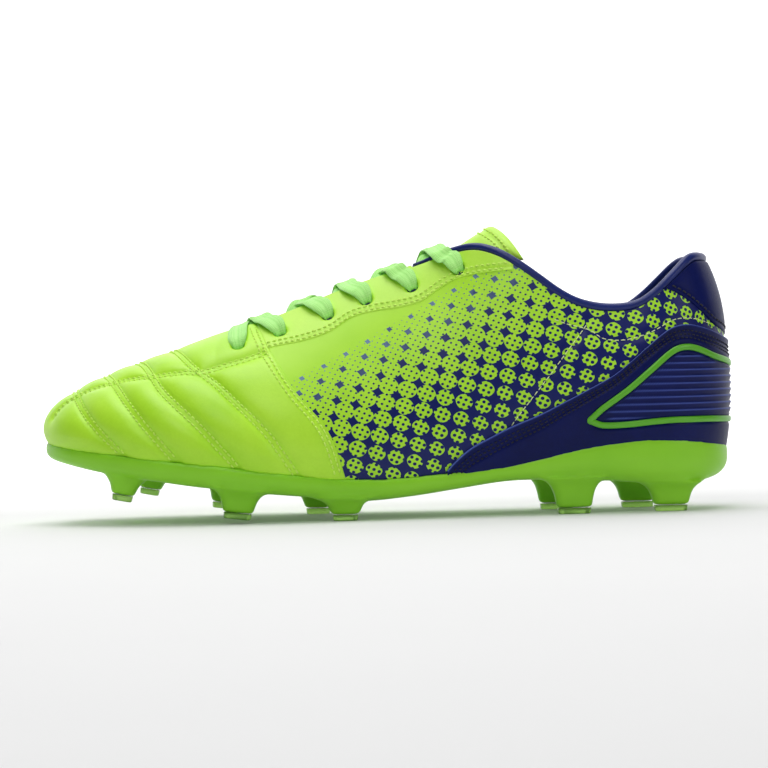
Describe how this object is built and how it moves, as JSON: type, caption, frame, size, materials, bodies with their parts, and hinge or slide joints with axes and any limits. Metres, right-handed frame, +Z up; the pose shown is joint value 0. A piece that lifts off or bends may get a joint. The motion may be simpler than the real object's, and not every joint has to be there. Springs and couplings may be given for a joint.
{
  "type": "soccer cleat",
  "caption": "Low-cut left soccer cleat with a quilted vamp, laced throat, padded collar, moulded heel and a firm-ground sole with bladed studs.",
  "frame": {"origin": "on the ground, under the centre of the shoe's box", "axes": "+X towards the heel, +Y towards the inner (medial) side, +Z up"},
  "size_m": [0.2898, 0.0936, 0.1213],
  "materials": {
    "lime_leather": "soft synthetic leather, lime, fine grain, satin",
    "printed_leather": "smooth synthetic leather with a printed two-colour star lattice",
    "navy_leather": "moulded navy synthetic leather, satin",
    "lining_fabric": "navy knitted lining",
    "foam": "open-cell foam with a brushed skin",
    "lace_fabric": "flat woven polyester lace, mint green",
    "sole_plate": "injection-moulded elastomer, green, slight gloss",
    "stud_tip": "translucent moulded elastomer, pale green",
    "heel_trim": "moulded rubber line, green",
    "lasting_board": "pressed fibre board",
    "stiffener": "thermoplastic sheet"
  },
  "bodies": {
    "shoe": {"outsole": "sole_plate", "insole_board": "lasting_board", "sockliner": "lining_fabric", "vamp": "lime_leather", "toe_puff": "stiffener", "quarter_lateral": "printed_leather", "quarter_medial": "printed_leather", "facing_lateral": "lime_leather", "facing_medial": "lime_leather", "heel_cover": "navy_leather", "heel_tab": "navy_leather", "heel_counter": "stiffener", "heel_inlay": "heel_trim", "vamp_lining": "lining_fabric", "quarter_lining": "lining_fabric", "collar_padding": "foam", "collar_binding": "navy_leather", "tongue_cover": "lime_leather", "tongue_padding": "foam", "tongue_backing": "lining_fabric", "shoelace": "lace_fabric", "stud_tip_lateral_1": "stud_tip", "stud_tip_lateral_2": "stud_tip", "stud_tip_lateral_3": "stud_tip", "stud_tip_lateral_4": "stud_tip", "stud_tip_lateral_5": "stud_tip", "stud_tip_medial_1": "stud_tip", "stud_tip_medial_2": "stud_tip", "stud_tip_medial_3": "stud_tip", "stud_tip_medial_4": "stud_tip", "stud_tip_medial_5": "stud_tip"},
    "tongue_top": {"tongue_top_cover": "lime_leather", "tongue_top_padding": "foam", "tongue_top_backing": "lining_fabric"}
  },
  "joints": [
    {"name": "tongue_flex", "type": "hinge", "parent": "shoe", "child": "tongue_top", "pos_m": [0.0247, -0.0004, 0.1041], "axis": [0, -1, 0], "range_deg": [-12, 25]}
  ]
}
